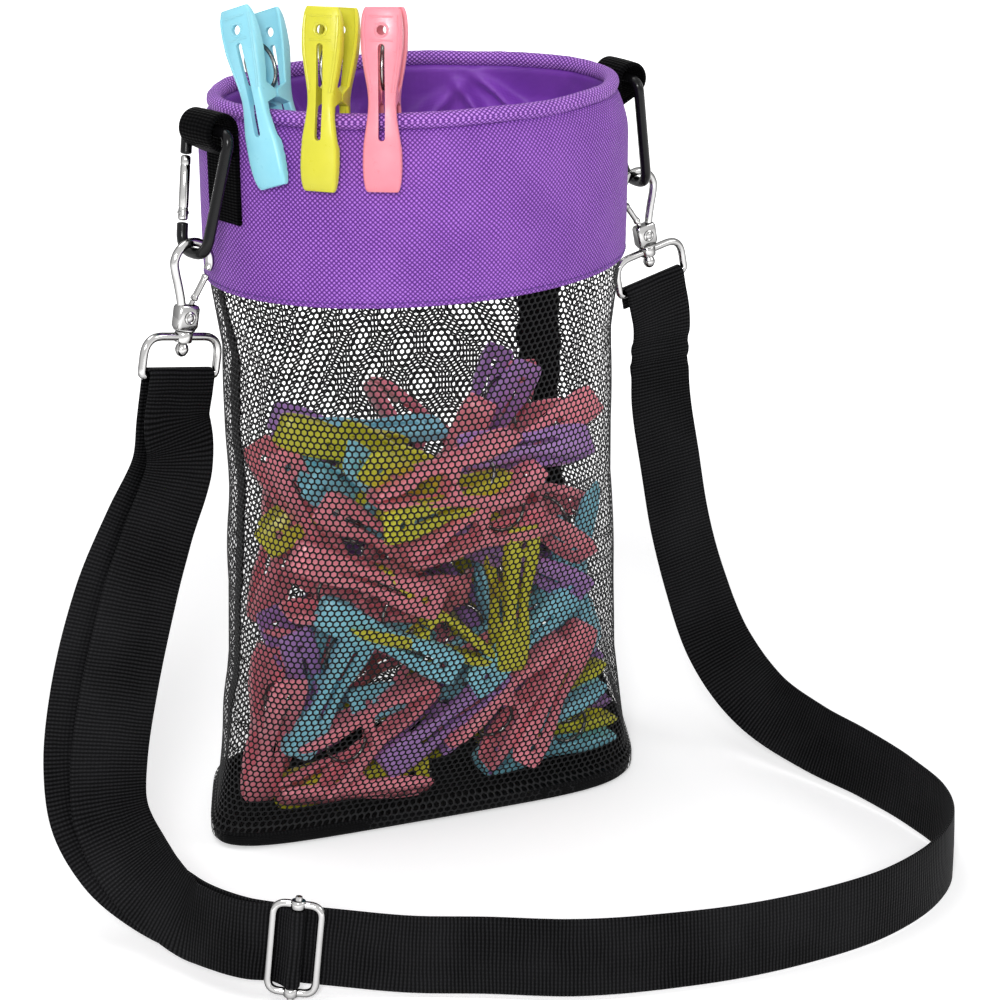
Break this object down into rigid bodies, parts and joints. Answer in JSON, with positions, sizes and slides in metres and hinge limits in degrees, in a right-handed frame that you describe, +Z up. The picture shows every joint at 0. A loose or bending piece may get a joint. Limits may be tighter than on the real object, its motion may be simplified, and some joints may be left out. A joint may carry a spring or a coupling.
{
  "type": "peg bag",
  "caption": "Hanging clothes-peg bag: stiff fabric collar, net body, flat base, clip-on adjustable shoulder strap and pegs clipped on the rim and piled inside.",
  "frame": {"origin": "middle of the base's underside, where the bag stands on a surface", "axes": "+Z up through the mouth, X along the bag's width with the left tab at -X, front towards -Y"},
  "size_m": [0.365, 0.287, 0.3664],
  "materials": {
    "purple_fabric": "woven polyester with a small diamond weave",
    "purple_lining": "smooth plain-woven lining",
    "black_net": "open knitted net",
    "black_cloth": "plain woven cloth",
    "black_webbing": "ribbed webbing",
    "black_metal": "black anodised",
    "chrome": "polished plating",
    "spring_wire": "bare wire",
    "cyan_plastic": "smooth moulded",
    "yellow_plastic": "smooth moulded",
    "pink_plastic": "smooth moulded",
    "violet_plastic": "smooth moulded"
  },
  "bodies": {
    "bag": {"collar_shell": "purple_fabric", "collar_stiffener": "purple_lining", "collar_lining": "purple_lining", "collar_hem": "purple_fabric", "rim_piping": "purple_fabric", "net_body": "black_net", "base_panel": "black_cloth", "left_seam_tape": "black_webbing", "right_seam_tape": "black_webbing", "left_tab": "black_webbing", "right_tab": "black_webbing", "strap_left": "black_webbing", "strap_return": "black_webbing", "strap_front": "black_webbing", "strap_right": "black_webbing", "cyan_peg_back_lever": "cyan_plastic", "cyan_peg_spring": "spring_wire", "yellow_peg_back_lever": "yellow_plastic", "yellow_peg_spring": "spring_wire", "pink_peg_back_lever": "pink_plastic", "pink_peg_spring": "spring_wire", "pile_peg_01_yellow": "yellow_plastic", "pile_peg_02_pink": "pink_plastic", "pile_peg_03_cyan": "cyan_plastic", "pile_peg_04_pink": "pink_plastic", "pile_peg_05_yellow": "yellow_plastic", "pile_peg_06_cyan": "cyan_plastic", "pile_peg_07_pink": "pink_plastic", "pile_peg_08_yellow": "yellow_plastic", "pile_peg_09_cyan": "cyan_plastic", "pile_peg_10_pink": "pink_plastic", "pile_peg_11_violet": "violet_plastic", "pile_peg_12_violet": "violet_plastic", "pile_peg_13_yellow": "yellow_plastic", "pile_peg_14_pink": "pink_plastic", "pile_peg_15_violet": "violet_plastic"},
    "left_hanger": {"left_carabiner_frame": "black_metal", "left_carabiner_pin": "chrome", "left_swivel_ring": "chrome", "left_strap_fold": "black_webbing"},
    "left_carabiner_gate": {"left_carabiner_gate": "chrome"},
    "left_hook": {"left_hook_frame": "chrome", "left_hook_rivet": "chrome", "left_swivel_stud": "chrome"},
    "left_hook_gate": {"left_hook_gate": "chrome"},
    "right_hanger": {"right_carabiner_frame": "black_metal", "right_carabiner_pin": "chrome", "right_swivel_ring": "chrome", "right_strap_fold": "black_webbing"},
    "right_carabiner_gate": {"right_carabiner_gate": "chrome"},
    "right_hook": {"right_hook_frame": "chrome", "right_hook_rivet": "chrome", "right_swivel_stud": "chrome"},
    "right_hook_gate": {"right_hook_gate": "chrome"},
    "slider": {"slider_frame": "chrome", "slider_bar": "chrome", "strap_slider_loop": "black_webbing"},
    "cyan_peg_lever": {"cyan_peg_front_lever": "cyan_plastic"},
    "yellow_peg_lever": {"yellow_peg_front_lever": "yellow_plastic"},
    "pink_peg_lever": {"pink_peg_front_lever": "pink_plastic"}
  },
  "joints": [
    {"name": "left_hanger_swing", "type": "hinge", "parent": "bag", "child": "left_hanger", "pos_m": [-0.09837, -0.01818, 0.317], "axis": [-0.2909, 0.9568, 0], "range_deg": [-5, 20], "deforming": ["strap_left", "strap_return"]},
    {"name": "left_carabiner_gate_open", "type": "hinge", "parent": "left_hanger", "child": "left_carabiner_gate", "pos_m": [-0.1081, -0.01103, 0.28302], "axis": [0.9359, 0.2845, -0.2079], "range_deg": [0, 22], "stiffness_Nm_per_rad": 0.02, "springref_deg": -5.73},
    {"name": "left_hook_swivel", "type": "hinge", "parent": "left_hanger", "child": "left_hook", "pos_m": [-0.11479, -0.02317, 0.2363], "axis": [0.1989, 0.0605, 0.9781], "range_deg": [-35, 35]},
    {"name": "left_hook_gate_open", "type": "hinge", "parent": "left_hook", "child": "left_hook_gate", "pos_m": [-0.11325, -0.02271, 0.24383], "axis": [0.2909, -0.9568, 0], "range_deg": [0, 18], "stiffness_Nm_per_rad": 0.02, "springref_deg": -5.73},
    {"name": "right_hanger_swing", "type": "hinge", "parent": "bag", "child": "right_hanger", "pos_m": [0.10084, 0.00565, 0.317], "axis": [0.0917, -0.9958, 0], "range_deg": [-5, 20], "deforming": ["strap_right"]},
    {"name": "right_carabiner_gate_open", "type": "hinge", "parent": "right_hanger", "child": "right_carabiner_gate", "pos_m": [0.10715, 0.01594, 0.28302], "axis": [0.974, 0.0897, 0.2079], "range_deg": [0, 22], "stiffness_Nm_per_rad": 0.02, "springref_deg": -5.73},
    {"name": "right_hook_swivel", "type": "hinge", "parent": "right_hanger", "child": "right_hook", "pos_m": [0.11792, 0.00722, 0.2363], "axis": [-0.207, -0.0191, 0.9781], "range_deg": [-35, 35]},
    {"name": "right_hook_gate_open", "type": "hinge", "parent": "right_hook", "child": "right_hook_gate", "pos_m": [0.11633, 0.00708, 0.24383], "axis": [-0.0917, 0.9958, 0], "range_deg": [0, 18], "stiffness_Nm_per_rad": 0.02, "springref_deg": -5.73},
    {"name": "slider_travel", "type": "slide", "parent": "bag", "child": "slider", "axis": [0.8571, -0.5068, -0.0926], "range_m": [0, 0.04], "deforming": ["strap_front", "strap_return"]},
    {"name": "cyan_peg_open", "type": "hinge", "parent": "bag", "child": "cyan_peg_lever", "pos_m": [-0.07683, -0.02671, 0.32982], "axis": [-0.532, 0.7838, -0.3205], "range_deg": [0, 12], "stiffness_Nm_per_rad": 0.4, "springref_deg": -11.46},
    {"name": "yellow_peg_open", "type": "hinge", "parent": "bag", "child": "yellow_peg_lever", "pos_m": [-0.05868, -0.04645, 0.33118], "axis": [-0.7062, 0.708, 0], "range_deg": [0, 12], "stiffness_Nm_per_rad": 0.4, "springref_deg": -11.46},
    {"name": "pink_peg_open", "type": "hinge", "parent": "bag", "child": "pink_peg_lever", "pos_m": [-0.0398, -0.05672, 0.33123], "axis": [-0.858, 0.5136, 0], "range_deg": [0, 12], "stiffness_Nm_per_rad": 0.4, "springref_deg": -11.46}
  ]
}
